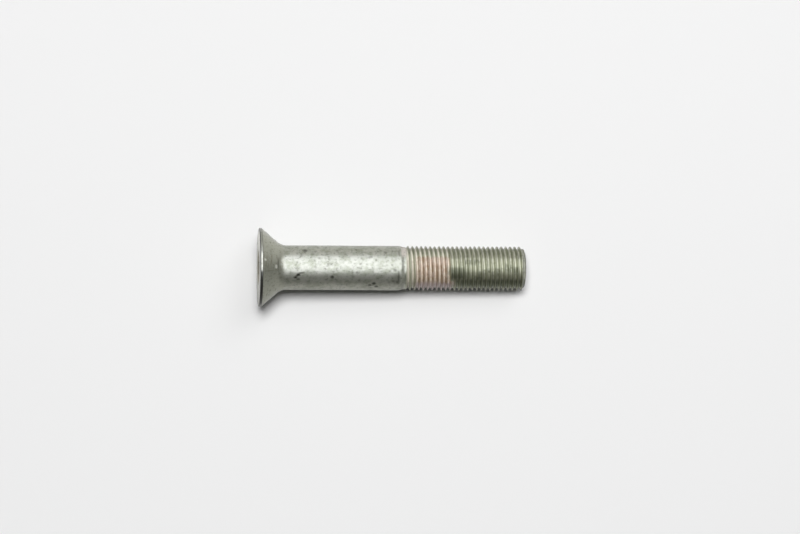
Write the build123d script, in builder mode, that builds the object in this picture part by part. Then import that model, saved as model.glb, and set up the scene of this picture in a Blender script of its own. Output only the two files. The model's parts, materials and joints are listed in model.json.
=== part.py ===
from build123d import *
from math import atan2, ceil, degrees, radians, tan
import os

os.makedirs("parts", exist_ok=True)

# Flat countersunk socket head cap screw with an 82 degree head, partly threaded.
# It is turned along X, face at X = 0 and point at +X, and then laid on its side.
overall_length = 75.55
head_d = 22.3
head_land = 0.73
head_angle = 82.0
rim_break = 0.2

shank_d = 12.6
grip_length = 40.25
seat_fillet = 4.2
shank_break = 0.3

# Rolled right-hand thread. The neck keeps the diameter of the blank it was rolled on.
thread_major_d = 12.6
thread_pitch = 1.27
thread_depth = 0.6134 * thread_pitch
flank_angle = 60.0
thread_phase = 329.0
neck_d = thread_major_d - 0.5 * thread_pitch
neck_length = 1.0
point_length = 1.0
point_angle = 45.0

# Hexagon socket, with the drilled cone left at its bottom.
hex_across_flats = 7.94
hex_depth = 4.7
mouth_chamfer = 0.3
drill_d = 0.99 * hex_across_flats
drill_angle = 118.0

head_r = head_d / 2
shank_r = shank_d / 2
major_r = thread_major_d / 2
neck_r = neck_d / 2
root_r = major_r - thread_depth
point_r = major_r - point_length * tan(radians(point_angle))
cone_end = head_land + (head_r - shank_r) / tan(radians(head_angle / 2))
thread_start = grip_length + neck_length
first_crest = thread_start + (major_r - neck_r)
mouth_r = hex_across_flats / 3 ** 0.5 + mouth_chamfer
drill_r = drill_d / 2
drill_cone = drill_r / tan(radians(drill_angle / 2))

# The groove's section is taller than the thread by a tenth of a pitch, so that it
# opens past the crests, and it runs out past the end of the point.
groove_height = thread_depth + 0.1 * thread_pitch
groove_half_width = groove_height * tan(radians(flank_angle / 2))
groove_start = first_crest + 0.25 * thread_pitch
turns = ceil((overall_length - groove_start) / thread_pitch) + 1

with BuildPart() as groove:
    with BuildLine():
        for turn in range(turns):
            Helix(
                pitch=thread_pitch,
                height=thread_pitch,
                radius=root_r,
                center=(groove_start + turn * thread_pitch, 0, 0),
                direction=(1, 0, 0),
            )
    with BuildSketch(Plane(origin=(groove_start, 0, root_r), x_dir=(1, 0, 0), z_dir=(0, -1, 0))):
        with BuildLine():
            Polyline(
                (0, 0),
                (groove_half_width, groove_height),
                (-groove_half_width, groove_height),
                close=True,
            )
        make_face()
    sweep(is_frenet=True)

with BuildPart() as turned:
    with BuildSketch(Plane.XZ):
        with BuildLine():
            FilletPolyline(
                (0, 0),
                (0, head_r - rim_break),
                (rim_break, head_r),
                (head_land, head_r),
                (cone_end, shank_r),
                (grip_length - shank_break, shank_r),
                (grip_length, shank_r - shank_break),
                (grip_length, neck_r),
                (thread_start, neck_r),
                (first_crest, major_r),
                (overall_length - point_length, major_r),
                (overall_length, point_r),
                (overall_length, 0),
                radius=(0, 0, 0, 0, seat_fillet, 0, 0, 0, 0, 0, 0, 0, 0),
                close=True,
            )
        make_face()
    revolve(axis=Axis.X)
    add(groove.part, rotation=(thread_phase, 0, 0), mode=Mode.SUBTRACT)

    # Socket: hexagon, drilled cone below it, and the chamfer round its mouth.
    with BuildSketch(Plane.YZ):
        RegularPolygon(radius=hex_across_flats / 2, side_count=6, major_radius=False)
    extrude(amount=hex_depth, mode=Mode.SUBTRACT)
    with BuildSketch(Plane.XZ):
        with BuildLine():
            Polyline(
                (0, 0),
                (0, mouth_r),
                (mouth_r - hex_across_flats / 2, hex_across_flats / 2),
                (hex_depth, drill_r),
                (hex_depth + drill_cone, 0),
                close=True,
            )
        make_face()
    revolve(axis=Axis.X, mode=Mode.SUBTRACT)

# The screw rests on the rim of its head and on the last crests at its point.
rest_tilt = degrees(atan2(head_r - major_r, overall_length - point_length - head_land))
lying = turned.part.rotate(Axis.Y, rest_tilt).bounding_box()
with BuildPart() as screw:
    with Locations(Location((-lying.center().X, 0, -lying.min.Z), (0, rest_tilt, 0))):
        add(turned.part)

screw.part.label = "screw"
export_step(screw.part, "parts/screw.step")
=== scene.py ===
import json
import math
import random

import bmesh
import bpy
import numpy as np
from mathutils import Matrix, Vector


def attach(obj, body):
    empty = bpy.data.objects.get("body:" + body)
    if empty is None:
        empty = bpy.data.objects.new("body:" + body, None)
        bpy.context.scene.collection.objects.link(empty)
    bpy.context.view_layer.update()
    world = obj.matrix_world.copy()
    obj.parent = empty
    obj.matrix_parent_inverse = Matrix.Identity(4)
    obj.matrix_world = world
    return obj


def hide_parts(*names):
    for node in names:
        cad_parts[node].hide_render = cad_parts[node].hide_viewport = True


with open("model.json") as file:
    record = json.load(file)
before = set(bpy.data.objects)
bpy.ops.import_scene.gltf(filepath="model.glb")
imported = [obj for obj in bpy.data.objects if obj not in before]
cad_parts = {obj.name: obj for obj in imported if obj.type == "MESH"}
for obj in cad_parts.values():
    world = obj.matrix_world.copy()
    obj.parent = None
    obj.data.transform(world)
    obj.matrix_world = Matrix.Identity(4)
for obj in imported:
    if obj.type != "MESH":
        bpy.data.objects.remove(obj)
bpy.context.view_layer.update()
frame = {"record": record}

# The screw's sizes in millimetres and degrees. Places along it are measured from its face.
# The angles of the cone and of the socket's drilled end are half angles.
LENGTH = 75.55
HEAD_R = 11.15
LAND = 0.73
CONE_ANGLE = 41.0
CONE_SLOPE = math.tan(math.radians(CONE_ANGLE))
SHANK_R = 6.3
SEAT_FILLET = 4.2
GRIP = 40.25
NECK_END = 41.25
MAJOR_R = 6.3
PITCH = 1.27
NECK_R = MAJOR_R - 0.25 * PITCH
GROOVE_START = NECK_END + (MAJOR_R - NECK_R) + 0.25 * PITCH
PHASE = 329.0
POINT = 1.0
HEX_FLAT = 3.97
HEX_DEPTH = 4.7
MOUTH_R = 2 * HEX_FLAT / math.sqrt(3) + 0.3
DRILL_R = 0.99 * HEX_FLAT
DRILL_ANGLE = 59.0

# The thread's half section: distance from the groove's middle, height over the root.
ROOT_R = 5.5
HALF_SECTION = (
    (0.0, 0.0), (0.10, 0.012), (0.17, 0.06), (0.20, 0.105),
    (0.545, 0.72), (0.575, 0.772), (0.635, 0.79),
)

# Soft edges: the rim of the face, the corner between land and cone, and the step from shank to
# neck, as places past the grip and shares of the step's height.
RIM_ROUND = 0.25
LAP_ROUND = 0.13
SHOULDER = (
    (-0.48, 0.99), (-0.34, 0.94), (-0.17, 0.82), (0.0, 0.65), (0.17, 0.455),
    (0.34, 0.27), (0.52, 0.11), (0.72, 0.0), (0.85, 0.0),
)

# The crests rise out of the neck over this length. The point starts a little early, and its
# radius falls by the taper evenly and by the curl towards its end.
CREST_RISE = 0.9 * PITCH
POINT_EARLY = 0.1
POINT_TAPER = 0.55
POINT_CURL = 0.75

# How finely the mesh is cut: points round it, rows on each stretch of it, and the radii of the
# rings on the face and on the end. Points within the merge distance, in metres, become one, and
# edges stay sharp from the sharp angle.
AROUND = 192
RIM_ROWS = 5
LAND_MIDDLE = 0.42
LAP_ROWS = 4
CONE_ROWS = 14
FILLET_ROWS = 12
SHANK_ROWS = 112
FACE_RINGS = (5.0, 5.3, 6.2, 7.2, 8.2, 9.2, 10.2, 10.7)
END_RINGS = (4.8, 4.4, 3.6, 2.5, 1.2)
MERGE_DISTANCE = 1e-7
SHARP_ANGLE = 38

# Nicks and stains on the cone and shank: mm from the face, degrees round the screw from +Y
# towards the upper side, length along the screw, width round it, depth and darkness. A mark
# with negative darkness is made bright instead.
NICKS = (
    (10.1, 116, 0.9, 0.5, 0.08, 1.35), (10.5, 112.5, 0.7, 0.45, 0.07, 1.1),
    (10.9, 109.3, 0.9, 0.55, 0.1, 1.5), (10.9, 121, 1.0, 0.5, 0.04, 0.9),
    (12.1, 103.5, 1.0, 0.3, 0.03, 0.75), (39.2, 118, 0.5, 3.6, 0.03, 0.8),
    (39.4, 47, 0.4, 1.9, 0.02, 0.6), (38.9, 128, 0.7, 0.9, 0.04, 0.7),
    (11.5, 105, 1.1, 0.3, 0.04, 0.9), (12.9, 40, 1.1, 1.0, 0.05, 0.9),
    (11.8, 56, 0.6, 0.8, 0.04, 0.4), (16.8, 64, 0.7, 0.6, 0.03, 0.4),
    (19.4, 60, 0.6, 0.5, 0.03, 0.5), (18.8, 122, 0.9, 0.5, 0.04, 0.6),
    (20.5, 115, 0.9, 0.8, 0.07, 1.1), (21.4, 122, 0.8, 0.4, 0.03, 0.5),
    (21.9, 41, 0.6, 0.8, 0.03, 0.4), (26.1, 103, 0.5, 0.5, 0.03, 0.5),
    (27.4, 102, 0.6, 0.5, 0.04, 0.6), (28.1, 124, 0.7, 0.7, 0.04, 0.6),
    (28.5, 92, 0.5, 0.4, 0.03, 0.4), (31.2, 60, 1.0, 0.5, 0.04, 0.5),
    (31.2, 140, 0.9, 0.8, 0.07, 0.95), (32.3, 134, 1.0, 0.8, 0.07, 1.2),
    (33.1, 146, 0.9, 0.8, 0.07, 1.1), (35.5, 46, 0.8, 0.8, 0.05, 0.6),
    (37.3, 82, 0.5, 0.5, 0.03, 0.5), (38.1, 96, 0.8, 0.8, 0.06, 0.5),
    (38.4, 67, 0.6, 0.8, 0.03, 0.3), (37.3, 67, 0.5, 0.8, 0.03, 0.3),
    (37.8, 126, 0.9, 0.7, 0.04, 0.6), (36.6, 131, 0.7, 0.7, 0.03, 0.4),
    (4.6, 88, 0.6, 0.9, 0.06, -1.0), (5.15, 82, 0.35, 3.0, 0.02, 0.55),
    (2.6, 96, 2.2, 0.3, 0.02, 0.4), (1.4, 78, 0.7, 0.6, 0.03, -0.6),
    (3.0, 60, 0.7, 0.9, 0.05, 0.3), (5.6, 104, 0.6, 0.6, 0.04, 0.4),
)

# Small nicks all over, drawn between these lows and highs in the same order, and how far each
# nick reaches from its middle as a share of its length and width.
SMALL_NICKS = 170
SMALL_NICK_RANGES = (
    (2.0, GRIP - 0.8), (0, 360), (0.35, 0.8), (0.35, 0.7), (0.01, 0.03), (0.15, 0.5),
)
NICK_SEED = 20
NICK_REACH = 0.75

# Plating tones: clean, under its film, stained, grimy and painted shade, a bright mark, and on
# each part of the head, where the cone's darker tone is partly painted shade.
CLEAN = (0.52, 0.525, 0.445, 1)
FILM = (0.35, 0.365, 0.28, 1)
STAIN = (0.10, 0.10, 0.075, 1)
GRIME_AND_SHADE = (0.02, 0.02, 0.016, 1)
BRIGHT_MARK = (0.92, 0.92, 0.82, 1)
FACE = (0.84, 0.84, 0.72, 1)
SOCKET = (0.50, 0.46, 0.37, 1)
LAND_TONE = (0.58, 0.585, 0.49, 1)
CONE = (0.465, 0.47, 0.375, 1)
CONE_STREAK_AND_SHADE = (0.43, 0.44, 0.35, 1)
CONE_BROWN = (0.28, 0.255, 0.18, 1)

# Thread, neck and point tones: bare thread painted lit and shaded, green grime that also paints
# shade, painted light on one side, dried thread locker painted lit and shaded, brown, purple and
# painted lighter, pale locker, pale dust, dull point.
THREAD_PAINTED_LIT = (0.56, 0.56, 0.44, 1)
THREAD_PAINTED_SHADED = (0.44, 0.45, 0.33, 1)
THREAD_GRIME_AND_SHADE = (0.17, 0.185, 0.115, 1)
THREAD_PAINTED_SIDE_LIGHT = (0.80, 0.79, 0.68, 1)
LOCKER_PAINTED_LIT = (0.62, 0.515, 0.42, 1)
LOCKER_PAINTED_SHADED = (0.53, 0.44, 0.36, 1)
LOCKER_BROWN = (0.36, 0.27, 0.18, 1)
LOCKER_PURPLE_PAINTED_LIGHT = (0.62, 0.54, 0.53, 1)
LOCKER_PALE = (0.66, 0.60, 0.50, 1)
DUSTY = (0.55, 0.515, 0.43, 1)
NECK_DUST = (0.56, 0.52, 0.46, 1)
POINT_TONE = (0.17, 0.175, 0.14, 1)

# Which way round the screw each mark is centred, in degrees from +Y towards the upper side.
DUSTY_SIDE = 25
SHADED_SIDE = 33
PAINTED_LIGHT_SIDE = 50
WORN_SIDE = 76
LIT_LAND_SIDE = 80
SMEARED_SIDE = 81
FOUL_SIDE = 104
CONE_SHADE_SIDE = 112
SHADED_LAND_SIDE = 120
LOCKER_SIDE = 122
LOW_SIDE = 146
PURPLE_SIDE = 160

# Between which places along the screw each mark fades in or out.
CONE_FADE = (6.3, 7.2)
WORN_FADE = (34.0, 35.5)
LOCKER_START = (43.2, 45.4)
LOCKER_END = (54.0, 54.7)
LOW_GRIME_START = (53.0, 57.5)
FOUL_END = (56.5, 60.5)
SOCKET_FADE = (6.8, 7.5)

# How far before the middle of its groove the thread's painted light is strongest, as an angle of
# one pitch.
PAINTED_LIGHT_LEAD = 0.6

# The clear coat over the plating, and how deep the bumps are in metres.
COAT_WEIGHT = 0.8
COAT_ROUGHNESS = 0.18
BUMP_DISTANCE = 0.00002

# How light the floor and the room are, and how light they look to the camera. In the metal
# they are lighter towards +Y, where the light comes from: start, end, low and high.
FLOOR_GREY = 0.45
FLOOR_SEEN = 0.8
FLOOR_IN_METAL = (-0.01, 0.02, 0.45, 0.64)
FLOOR_HALF = 3.0
ROOM_GREY = 0.05
ROOM_SEEN = 0.86
ROOM_IN_METAL = (0.8, 1.0, 0.2, 0.69)

# Lights: lean towards +X and +Y in degrees, distance and size in metres, power in watts.
KEY = ((-2.2, 12.0), 1.5, (0.5, 0.48), 20.2)
FILL = ((20.0, 27.0), 1.3, (0.6, 0.8), 4.0)
SHEEN = ((13.0, 19.4), 1.0, (1.3, 1.64), 14.6)
SHEEN_COLOUR = (0.895, 0.915, 1.0)

# Camera: lens and sensor in millimetres, place in metres, lean and roll in degrees.
LENS = 139.92
SENSOR = 36.0
CAMERA_PLACE = (-0.02374, 0.000319, 0.89)
CAMERA_LEAN = -1.707
CAMERA_ROLL = 0.296


def arc(centre_s, centre_r, radius, start, end, steps):
    """Points on an arc in the (s, r) half plane, angles in degrees from +s."""
    angles = np.radians(np.linspace(start, end, steps + 1))
    return [(centre_s + radius * math.cos(a), centre_r + radius * math.sin(a)) for a in angles]


def outer_profile():
    """(s, r) from the mouth of the socket, over the head and shank, to the neck's end."""
    rows = [(0.0, r) for r in FACE_RINGS]
    rows += arc(RIM_ROUND, HEAD_R - RIM_ROUND, RIM_ROUND, 180, 90, RIM_ROWS)
    rows += [(LAND_MIDDLE, HEAD_R)]
    lap_turn = 90 - CONE_ANGLE
    lap_back = LAP_ROUND * math.tan(math.radians(lap_turn / 2))
    rows += arc(LAND - lap_back, HEAD_R - LAP_ROUND, LAP_ROUND, 90, 90 - lap_turn, LAP_ROWS)
    cone_end = LAND + (HEAD_R - SHANK_R) / CONE_SLOPE
    tangent = SEAT_FILLET * math.tan(math.radians(CONE_ANGLE / 2))
    fillet_s = cone_end + tangent
    cone_start = LAND + 0.16
    cone_stop = cone_end - tangent * math.cos(math.radians(CONE_ANGLE))
    for s in np.linspace(cone_start, cone_stop, CONE_ROWS)[:-1]:
        rows.append((s, HEAD_R - (s - LAND) * CONE_SLOPE))
    fillet_r = SHANK_R + SEAT_FILLET
    rows += arc(fillet_s, fillet_r, SEAT_FILLET, 270 - CONE_ANGLE, 270, FILLET_ROWS)
    for s in np.linspace(fillet_s, GRIP - 0.5, SHANK_ROWS)[1:]:
        rows.append((s, SHANK_R))
    for step, rise in SHOULDER:
        rows.append((GRIP + step, NECK_R + rise * (SHANK_R - NECK_R)))
    return rows


class Skin:
    """A mesh wound round the screw's axis, ring by ring."""

    def __init__(self):
        self.points = []
        self.faces = []
        self.theta = np.arange(AROUND) * 2 * math.pi / AROUND

    def add(self, s, r, theta):
        self.points.append((s, r, theta))
        return len(self.points) - 1

    def ring(self, s, r):
        """A ring of points, at one place and radius or at one of each for every point."""
        s = np.broadcast_to(s, AROUND)
        r = np.broadcast_to(r, AROUND)
        return [self.add(s[i], r[i], self.theta[i]) for i in range(AROUND)]

    def strip(self, a, b):
        """Faces between two rings."""
        for i in range(AROUND):
            k = (i + 1) % AROUND
            self.faces.append((a[i], a[k], b[k], b[i]))

    def cap(self, ring, s):
        """Faces from a ring to a point on the axis."""
        middle = self.add(s, 0.0, 0.0)
        for i in range(AROUND):
            self.faces.append((ring[i], ring[(i + 1) % AROUND], middle))


def thread_radius(s, height):
    """Crests rise out of the neck over the first turn and are cut by the rounded point."""
    rise = min(1.0, max(0.0, (s - NECK_END) / CREST_RISE))
    rise = rise * rise * (3 - 2 * rise)
    past = max(0.0, s - (LENGTH - POINT - POINT_EARLY)) / (POINT + POINT_EARLY)
    point = MAJOR_R - POINT_TAPER * POINT * past - POINT_CURL * POINT * past ** 3
    return min(NECK_R + (ROOT_R + height - NECK_R) * rise, point)


def add_thread(skin, first, last):
    """Rows that follow the helix, joined to a plain ring at each end."""
    section = list(HALF_SECTION)
    section += [(PITCH - x, height) for x, height in reversed(HALF_SECTION[1:-1])]
    count = len(section)
    lead = (skin.theta / (2 * math.pi)) * PITCH
    # The groove's middle at the angle 0, in a turn that lies wholly before the thread.
    base = GROOVE_START + PITCH * (-90.0 - PHASE) / 360.0
    while base > NECK_END - 2 * PITCH:
        base -= PITCH
    turns = int((LENGTH - base) / PITCH) + 2
    rows = []
    for turn in range(turns):
        for x, height in section:
            row = []
            for i in range(AROUND):
                s = base + turn * PITCH + x + lead[i]
                if s <= NECK_END:
                    row.append(first[i])
                elif s >= LENGTH:
                    row.append(last[i])
                else:
                    row.append(skin.add(s, thread_radius(s, height), skin.theta[i]))
            rows.append(row)
    # After the last angle each row goes on in the row that is one turn further along.
    for j in range(len(rows) - 1):
        for i in range(AROUND):
            if i + 1 < AROUND:
                quad = (rows[j][i], rows[j][i + 1], rows[j + 1][i + 1], rows[j + 1][i])
            elif j + 1 + count < len(rows):
                quad = (rows[j][i], rows[j + count][0], rows[j + 1 + count][0], rows[j + 1][i])
            else:
                quad = (rows[j][i], last[0], last[0], rows[j + 1][i])
            corners = list(dict.fromkeys(quad))
            if len(corners) > 2:
                skin.faces.append(tuple(corners))


def nick_marks(s, r, theta):
    """How far each point is sunk by the nicks, and how dark they leave it."""
    sunk = np.zeros(len(s))
    stain = np.zeros(len(s))
    draw = random.Random(NICK_SEED)
    small = [tuple(draw.uniform(low, high) for low, high in SMALL_NICK_RANGES)
             for _ in range(SMALL_NICKS)]
    outside = (s > LAND) & (s < GRIP) & (r > SHANK_R - 0.05)
    for middle, angle, length, width, depth, dark in NICKS + tuple(small):
        along = (s - middle) / (NICK_REACH * length)
        turn = (theta - math.radians(angle) + math.pi) % (2 * math.pi) - math.pi
        across = turn * r / (NICK_REACH * width)
        inside = np.where(outside, np.clip(1 - along ** 2 - across ** 2, 0, 1), 0)
        sunk += depth * inside ** 1.5
        mark = dark * inside ** 0.7
        stain = np.where(inside > 0, np.maximum(stain, mark) if dark > 0 else mark, stain)
    return sunk, stain


def screw_mesh():
    """The whole screw in one closed mesh: socket, head, shank, neck, thread and point."""
    skin = Skin()
    from_flat = np.mod(skin.theta, math.pi / 3) - math.pi / 6
    hexagon = HEX_FLAT / np.cos(from_flat)
    floor = skin.ring(HEX_DEPTH, DRILL_R)
    skin.cap(floor, HEX_DEPTH + DRILL_R / math.tan(math.radians(DRILL_ANGLE)))
    bottom = skin.ring(HEX_DEPTH, hexagon)
    skin.strip(floor, bottom)
    chamfer = skin.ring(MOUTH_R - hexagon, hexagon)
    skin.strip(bottom, chamfer)
    before = skin.ring(0.0, MOUTH_R)
    skin.strip(chamfer, before)
    for s, r in outer_profile():
        ring = skin.ring(s, r)
        skin.strip(before, ring)
        before = ring
    first = skin.ring(NECK_END, NECK_R)
    skin.strip(before, first)
    last = skin.ring(LENGTH, MAJOR_R - (POINT_TAPER + POINT_CURL) * POINT)
    add_thread(skin, first, last)
    for r in END_RINGS:
        ring = skin.ring(LENGTH, r)
        skin.strip(last, ring)
        last = ring
    skin.cap(last, LENGTH)

    s, r, theta = np.array(skin.points).T
    sunk, stain = nick_marks(s, r, theta)
    r = r - sunk
    points = np.column_stack((s, r * np.cos(theta), r * np.sin(theta))) / 1000
    mesh = bpy.data.meshes.new("screw_skin")
    mesh.from_pydata(points.tolist(), [], skin.faces)
    mesh.attributes.new("stain", "FLOAT", "POINT").data.foreach_set("value", stain)
    mesh.transform(resting_place())
    work = bmesh.new()
    work.from_mesh(mesh)
    bmesh.ops.remove_doubles(work, verts=work.verts, dist=MERGE_DISTANCE)
    bmesh.ops.recalc_face_normals(work, faces=work.faces)
    work.to_mesh(mesh)
    work.free()
    mesh.shade_smooth()
    mesh.set_sharp_from_angle(angle=math.radians(SHARP_ANGLE))
    return mesh


def face_and_dip():
    """Where the record puts the middle of the face, and how far the axis dips from +X."""
    mounts = {m["name"]: m for m in frame["record"]["mounts"]}
    axis = Vector(mounts["shank"]["axis"])
    return Vector(mounts["hex_socket"]["pos_m"]), math.atan2(-axis.z, axis.x)


def resting_place():
    """Moves a mesh made along +X from the origin to where the screw lies."""
    face, dip = face_and_dip()
    return Matrix.Translation(face) @ Matrix.Rotation(dip, 4, "Y")


class Shading:
    """Short names for the nodes of one material or world, joined up as they are made."""

    def __init__(self, owner):
        owner.use_nodes = True
        self.tree = owner.node_tree

    def put(self, socket, value):
        if isinstance(value, bpy.types.NodeSocket):
            self.tree.links.new(value, socket)
        else:
            socket.default_value = value

    def node(self, kind, inputs=(), **settings):
        node = self.tree.nodes.new("ShaderNode" + kind)
        for key, value in settings.items():
            setattr(node, key, value)
        for key, value in dict(inputs).items():
            self.put(node.inputs[key], value)
        return node

    def math(self, operation, *values):
        return self.node("Math", enumerate(values), operation=operation).outputs[0]

    def fold(self, operation, values):
        result = values[0]
        for value in values[1:]:
            result = self.math(operation, result, value)
        return result

    def times(self, *values):
        return self.fold("MULTIPLY", values)

    def plus(self, *values):
        return self.fold("ADD", values)

    def most(self, *values):
        return self.fold("MAXIMUM", values)

    def one_minus(self, value):
        return self.math("SUBTRACT", 1.0, value)

    def noise(self, place, scale, detail, roughness):
        inputs = {"Vector": place, "Scale": scale, "Detail": detail, "Roughness": roughness}
        return self.node("TexNoise", inputs).outputs["Fac"]

    def stretch(self, place, x, y, z, shift):
        inputs = {0: place, 1: (x, y, z), 2: (shift, shift, shift)}
        return self.node("VectorMath", inputs, operation="MULTIPLY_ADD").outputs[0]

    def step(self, value, start, end, low=0.0, high=1.0):
        """low up to start, high from end, and a smooth rise or fall in between."""
        inputs = {
            "Value": value, "From Min": start, "From Max": end, "To Min": low, "To Max": high,
        }
        return self.node("MapRange", inputs, interpolation_type="SMOOTHSTEP").outputs["Result"]

    def drop(self, value, start, end):
        """1 up to start, 0 from end."""
        return self.step(value, start, end, 1.0, 0.0)

    def blend(self, factor, a, b):
        inputs = {"Factor": factor, "A": a, "B": b}
        return self.node("Mix", inputs, data_type="RGBA").outputs["Result"]

    def pits(self, place, scale, share, radius):
        """Round spots, 1 in the middle, in about that share of the cells."""
        cells = self.node("TexVoronoi", {"Vector": place, "Scale": scale})
        chosen = self.math("GREATER_THAN", cells.outputs["Color"], 1 - share)
        return self.times(self.drop(cells.outputs["Distance"], 0.35 * radius, radius), chosen)

    def surroundings(self, coordinates, plain, in_metal, seen):
        """A plain grey, which rises towards +Y in the metal and is even to the camera."""
        place = self.node("TexCoord").outputs[coordinates]
        y = self.node("SeparateXYZ", {0: place}).outputs["Y"]
        rays = self.node("LightPath").outputs
        grey = self.blend(rays["Is Glossy Ray"], (plain, plain, plain, 1), self.step(y, *in_metal))
        return self.blend(rays["Is Camera Ray"], grey, (seen, seen, seen, 1))


class ScrewShading(Shading):
    """Nodes that know where they are on the screw, in millimetres, and its shared noises."""

    def __init__(self, owner):
        super().__init__(owner)
        face, dip = face_and_dip()
        inputs = {
            "Vector": self.node("TexCoord").outputs["Object"],
            "Location": face, "Rotation": (0, dip, 0), "Scale": (0.001, 0.001, 0.001),
        }
        self.place = self.node("Mapping", inputs, vector_type="TEXTURE").outputs[0]
        parts = self.node("SeparateXYZ", {0: self.place}).outputs
        self.s, self.y, self.z = parts["X"], parts["Y"], parts["Z"]
        squares = self.plus(self.times(self.y, self.y), self.times(self.z, self.z))
        self.radius = self.math("SQRT", squares)
        self.cloud = self.noise(self.place, 0.45, 5.0, 0.62)
        self.mottle = self.stretched((0.8, 1, 1), 40.0, 1.5, 4.0, 0.65)
        self.ragged = self.stretched((1.0, 1.0, 1.0), 7.0, 0.9, 3.0, 0.6)
        self.patchy = self.stretched((0.6, 1.0, 1.0), 11.0, 0.42, 4.0, 0.62)
        self.broken = self.stretched((1.0, 0.8, 0.8), 23.0, 1.3, 3.0, 0.6)

    def stretched(self, stretch, shift, scale, detail, roughness):
        return self.noise(self.stretch(self.place, *stretch, shift), scale, detail, roughness)

    def side(self, degrees):
        """1 at that angle round from +Y towards the upper side, -1 opposite it."""
        a = math.radians(degrees)
        across = self.plus(self.times(self.y, math.cos(a)), self.times(self.z, math.sin(a)))
        return self.math("DIVIDE", across, self.math("MAXIMUM", self.radius, 0.01))


def plating(n):
    """A clean tone clouded with a darker, greener film, most of all near the grip's end."""
    worn = n.times(n.step(n.s, *WORN_FADE, 0.0, 0.35), n.step(n.side(WORN_SIDE), 0.85, 0.97))
    film = n.math("MINIMUM", n.plus(n.step(n.cloud, 0.40, 0.66), worn), 1.0)
    return n.blend(film, CLEAN, FILM)


def cone_tone(n):
    """Duller and browner than the shank and streaked round the screw, darkest on its upper side
    with painted shade broken up by the streaks.
    """
    streaks = n.stretched((1.6, 0.22, 0.22), 3.0, 1.0, 4.0, 0.6)
    # Painted shade on the cone's upper side, broken up by the streaks.
    shade = n.step(n.side(CONE_SHADE_SIDE), 0.72, 0.97)
    shade = n.times(shade, n.step(streaks, 0.35, 0.6, 0.5, 1.0))
    shade = n.most(shade, n.step(streaks, 0.5, 0.72, 0.0, 0.7))
    smears = n.stretched((2.4, 0.3, 0.3), 17.0, 1.0, 4.0, 0.65)
    smeared = n.step(n.side(SMEARED_SIDE), 0.94, 0.985)
    smears = n.times(n.step(smears, 0.47, 0.63, 0.0, 0.55), smeared)
    return n.blend(smears, n.blend(shade, CONE, CONE_STREAK_AND_SHADE), CONE_BROWN)


def land_edges_and_shade(n):
    """Darkens the land along both of its edges, and with painted shade all over it but on the side
    that catches the light, most of all towards -Y.
    """
    edges = n.most(n.drop(n.s, 0.17, 0.31), n.times(n.step(n.s, LAND - 0.12, LAND), 0.8))
    # Painted shade: all over the land but on its lit side.
    painted_land_shade = n.times(
        n.drop(n.side(LIT_LAND_SIDE), 0.955, 0.988),
        n.step(n.side(SHADED_LAND_SIDE), 0.5, 0.88, 0.4, 0.93),
    )
    return n.times(n.most(edges, painted_land_shade), n.drop(n.s, LAND + 0.02, LAND + 0.14))


def painted_thread_light(n):
    """Painted light: 1 in the groove and on the flank that faces the point, painted lighter than
    the rest as if lit from the point's side.
    """
    along = n.times(n.math("SUBTRACT", n.s, GROOVE_START), 2 * math.pi / PITCH)
    swing = n.math("SUBTRACT", along, n.math("ARCTAN2", n.z, n.y))
    wave = n.math("COSINE", n.plus(swing, math.pi / 2 + math.radians(PHASE) + PAINTED_LIGHT_LEAD))
    return n.times(n.step(wave, -0.55, 0.45), n.step(n.broken, 0.3, 0.55, 0.7, 1.0))


def bare_thread(n, light, early):
    """Plated thread, painted lit and shaded, dusty as far as the locker goes and with green grime
    past it, which also paints shade in the -Y side's grooves; painted shade and painted light on
    the +Y side's flanks.
    """
    bare = n.blend(light, THREAD_PAINTED_SHADED, n.blend(early, THREAD_PAINTED_LIT, DUSTY))
    # Painted shade in the grooves on the -Y side, past the locker.
    low = n.times(
        n.step(n.side(LOW_SIDE), 0.88, 0.985),
        n.step(light, 0.1, 0.6, 0.25, 0.95),
        n.step(n.s, *LOW_GRIME_START, 0.15, 1.0),
    )
    patch = n.times(n.step(n.patchy, 0.5, 0.66), 0.6)
    behind = n.times(n.drop(n.s, *FOUL_END), n.step(n.side(FOUL_SIDE), 0.93, 0.985, 0.0, 0.6))
    grime_and_low_shade = n.times(n.most(patch, behind, low), n.one_minus(early))
    # Painted shade on the shaded flanks of the +Y side.
    shaded = n.times(n.step(n.side(SHADED_SIDE), 0.92, 0.985, 0.0, 0.6), n.one_minus(light))
    bare = n.blend(n.most(grime_and_low_shade, shaded), bare, THREAD_GRIME_AND_SHADE)
    # Painted light on the lit flanks of the +Y side.
    pale = n.times(n.step(n.side(PAINTED_LIGHT_SIDE), 0.93, 0.985), light, 0.5)
    return n.blend(pale, bare, THREAD_PAINTED_SIDE_LIGHT)


def locker_tone(n, light, below):
    """Dried thread locker: pink on the flanks painted as lit, browner on those painted as shaded,
    and purple and painted lighter on the -Y side.
    """
    browned = n.blend(n.step(n.patchy, 0.42, 0.58), LOCKER_PAINTED_SHADED, LOCKER_BROWN)
    pinked = n.blend(n.step(n.broken, 0.45, 0.62), LOCKER_PAINTED_LIT, LOCKER_PALE)
    # The -Y side is purple and painted lighter.
    return n.blend(n.times(below, 0.75), n.blend(light, browned, pinked), LOCKER_PURPLE_PAINTED_LIGHT)


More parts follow.
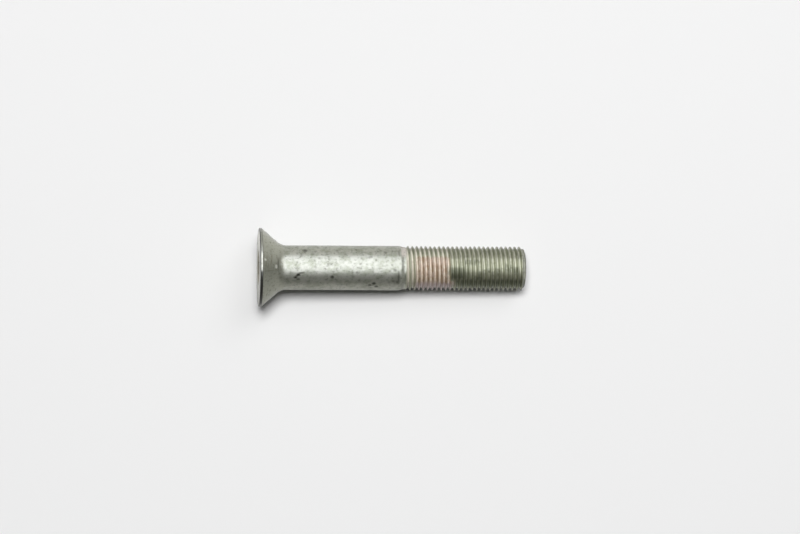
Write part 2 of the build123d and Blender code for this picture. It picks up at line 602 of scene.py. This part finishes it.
def steel():
    """Grey-green zinc plating, stained and pitted, with grime and thread locker in the thread, and
    painted light and shade on the thread, land, cone and neck.

    The limits of a step are millimetres along the screw or from its axis, levels of a noise, or
    how nearly a place faces a side.
    """
    material = bpy.data.materials.new("plated_steel")
    n = ScrewShading(material)
    s, radius, side = n.s, n.radius, n.side
    stain = n.node("Attribute", attribute_name="stain").outputs["Fac"]

    # The plating, the cone and the land round the head.
    colour = n.blend(n.drop(s, *CONE_FADE), plating(n), cone_tone(n))
    colour = n.blend(n.drop(s, LAND, LAND + 0.1), colour, LAND_TONE)
    # Painted shade on the land, and dark lines along its edges.
    colour = n.blend(land_edges_and_shade(n), colour, GRIME_AND_SHADE)

    # The paler face, darker at its rim, and the socket.
    on_face = n.times(n.drop(s, 0.01, 0.05), n.step(radius, MOUTH_R, MOUTH_R + 0.1))
    in_socket = n.times(n.drop(radius, MOUTH_R, MOUTH_R + 0.05), n.drop(s, *SOCKET_FADE))
    colour = n.blend(on_face, colour, FACE)
    colour = n.blend(n.times(on_face, n.step(radius, 9.7, 10.8, 0.0, 0.6)), colour, GRIME_AND_SHADE)
    colour = n.blend(in_socket, colour, SOCKET)

    # The thread, painted lighter in the groove and on the flank that faces the point, with dried
    # locker on one side of its first turns.
    thread = n.step(s, NECK_END - 0.1, NECK_END + 0.3)
    # Painted light: the groove and the flank that faces the point are painted lighter, as if lit
    # from that side.
    light = painted_thread_light(n)
    reach = n.plus(n.times(n.ragged, 1.6), n.step(side(LOW_SIDE), 0.9, 0.98, 0.0, -1.3))
    early = n.drop(n.plus(s, reach), *LOCKER_END)
    below = n.step(side(PURPLE_SIDE), 0.87, 0.97)
    locker = n.times(
        n.step(s, *LOCKER_START), early,
        n.step(n.plus(side(LOCKER_SIDE), n.times(n.ragged, 0.35)), 0.52, 0.66),
    )
    grooved = n.blend(locker, bare_thread(n, light, early), locker_tone(n, light, below))
    colour = n.blend(thread, colour, grooved)

    # The neck: a rougher band at its start, darkened with painted shade where the shoulder turns
    # from the light, and pale dust on one side.
    # Painted shade on the shoulder's band, which is rougher too.
    dull = n.step(s, GRIP - 0.35, GRIP - 0.05)
    dull = n.times(dull, n.step(s, GRIP + 0.35, GRIP + 0.8, 0.32, 0.0))
    neck = n.times(n.step(s, GRIP - 0.25, GRIP - 0.1), n.drop(s, NECK_END + 0.1, NECK_END + 0.5))
    dust = n.times(neck, n.step(side(DUSTY_SIDE), 0.78, 0.92))
    colour = n.blend(dust, n.blend(dull, colour, STAIN), NECK_DUST)

    # The dull, dark point.
    worked = n.plus(s, n.times(n.ragged, 0.8))
    point = n.step(worked, LENGTH - POINT + 0.25, LENGTH - POINT + 0.6)
    colour = n.blend(n.times(point, n.step(n.broken, 0.3, 0.6, 1.0, 0.6)), colour, POINT_TONE)

    # Specks and stains all over, fewer on the face and in the thread, and the nicks.
    specks = n.times(n.pits(n.place, 1.7, 0.13, 0.5), n.step(n.cloud, 0.42, 0.6, 0.05, 0.42))
    dark = n.most(n.times(n.step(n.mottle, 0.52, 0.72), 0.5), specks)
    dark = n.times(dark, n.one_minus(n.times(on_face, 0.8)), n.one_minus(n.times(thread, 0.7)))
    dark = n.most(dark, stain)
    colour = n.blend(dark, colour, STAIN)
    colour = n.blend(n.step(stain, 0.8, 1.5), colour, GRIME_AND_SHADE)
    colour = n.blend(n.drop(stain, -0.6, -0.1), colour, BRIGHT_MARK)

    # Powder dulls the metal: in the dusty turns, on the neck and shoulder, and on the point.
    shoulder = n.step(s, GRIP - 0.45, GRIP - 0.2)
    shoulder = n.times(shoulder, n.step(s, GRIP + 0.4, GRIP + 0.7, 0.22, 0.0))
    powder = n.times(early, n.step(light, 0.0, 1.0, 0.35, 1.0), thread)
    powder = n.times(powder, n.one_minus(n.times(below, 0.8)))
    powder = n.most(powder, dust, shoulder, point)
    rough = n.plus(
        n.step(n.mottle, 0.35, 0.7, 0.36, 0.50), n.times(dark, 0.12), n.times(powder, 0.2),
        n.times(point, 0.15), n.times(dull, 0.5),
    )

    # Fine bumps: mottled, grainy, and turned in rings on the face.
    grain = n.noise(n.place, 5.0, 3.0, 0.6)
    rings = n.noise(n.node("CombineXYZ", {0: radius, 1: s}).outputs[0], 2.2, 3.0, 0.6)
    height = n.plus(n.times(n.mottle, -1.0), n.times(grain, 0.25), n.times(rings, on_face, 1.5))
    bump = n.node("Bump", {"Height": height, "Strength": 1.0, "Distance": BUMP_DISTANCE})

    surface = n.tree.nodes["Principled BSDF"].inputs
    n.put(surface["Base Color"], colour)
    n.put(surface["Roughness"], rough)
    n.put(surface["Metallic"], n.one_minus(n.times(powder, 0.75)))
    n.put(surface["Coat Weight"], COAT_WEIGHT)
    n.put(surface["Coat Roughness"], COAT_ROUGHNESS)
    n.put(surface["Normal"], bump.outputs[0])
    return material


def add_screw():
    screw = bpy.data.objects.new("screw_body", screw_mesh())
    bpy.context.scene.collection.objects.link(screw)
    screw.data.materials.append(steel())
    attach(screw, "root")
    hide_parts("screw")


def add_floor():
    mesh = bpy.data.meshes.new("table_top")
    h = FLOOR_HALF
    mesh.from_pydata([(-h, -h, 0), (h, -h, 0), (h, h, 0), (-h, h, 0)], [], [(0, 1, 2, 3)])
    floor = bpy.data.objects.new("table_top", mesh)
    bpy.context.scene.collection.objects.link(floor)
    material = bpy.data.materials.new("matte_white")
    n = Shading(material)
    surface = n.tree.nodes["Principled BSDF"].inputs
    n.put(surface["Base Color"], n.surroundings("Object", FLOOR_GREY, FLOOR_IN_METAL, FLOOR_SEEN))
    n.put(surface["Roughness"], 0.9)
    n.put(surface["Specular IOR Level"], 0.1)
    mesh.materials.append(material)


def add_light(name, lean, distance, size, watts, shape="RECTANGLE"):
    """A flat light over the screw, leaning by two angles towards +X and +Y and facing it."""
    data = bpy.data.lights.new(name, "AREA")
    data.shape = shape
    data.size, data.size_y = size
    data.energy = watts
    light = bpy.data.objects.new(name, data)
    bpy.context.scene.collection.objects.link(light)
    direction = Vector([math.tan(math.radians(a)) for a in lean] + [1.0]).normalized()
    light.location = distance * direction
    light.rotation_mode = "QUATERNION"
    light.rotation_quaternion = direction.to_track_quat("Z", "Y")
    return light


def add_lights():
    """Two lights for the floor and plain surfaces, one that only the metal shows, and a room."""
    add_light("key", *KEY, shape="ELLIPSE").visible_glossy = False
    add_light("fill", *FILL).visible_glossy = False
    sheen = add_light("sheen", *SHEEN)
    sheen.data.color = SHEEN_COLOUR
    sheen.visible_diffuse = False
    world = bpy.data.worlds.new("room")
    bpy.context.scene.world = world
    n = Shading(world)
    grey = n.surroundings("Generated", ROOM_GREY, ROOM_IN_METAL, ROOM_SEEN)
    n.put(n.tree.nodes["Background"].inputs["Color"], grey)


def add_camera():
    """A long lens over the head half of the shank, looking a little towards the point."""
    data = bpy.data.cameras.new("camera")
    data.lens = LENS
    data.sensor_width = SENSOR
    camera = bpy.data.objects.new("camera", data)
    bpy.context.scene.collection.objects.link(camera)
    camera.rotation_mode = "QUATERNION"
    lean = Matrix.Rotation(math.radians(CAMERA_LEAN), 4, "Y")
    roll = Matrix.Rotation(math.radians(CAMERA_ROLL), 4, "Z")
    camera.matrix_world = Matrix.Translation(CAMERA_PLACE) @ lean @ roll
    bpy.context.scene.camera = camera


add_screw()
add_floor()
add_lights()
add_camera()
bpy.context.scene.view_settings.view_transform = "Standard"
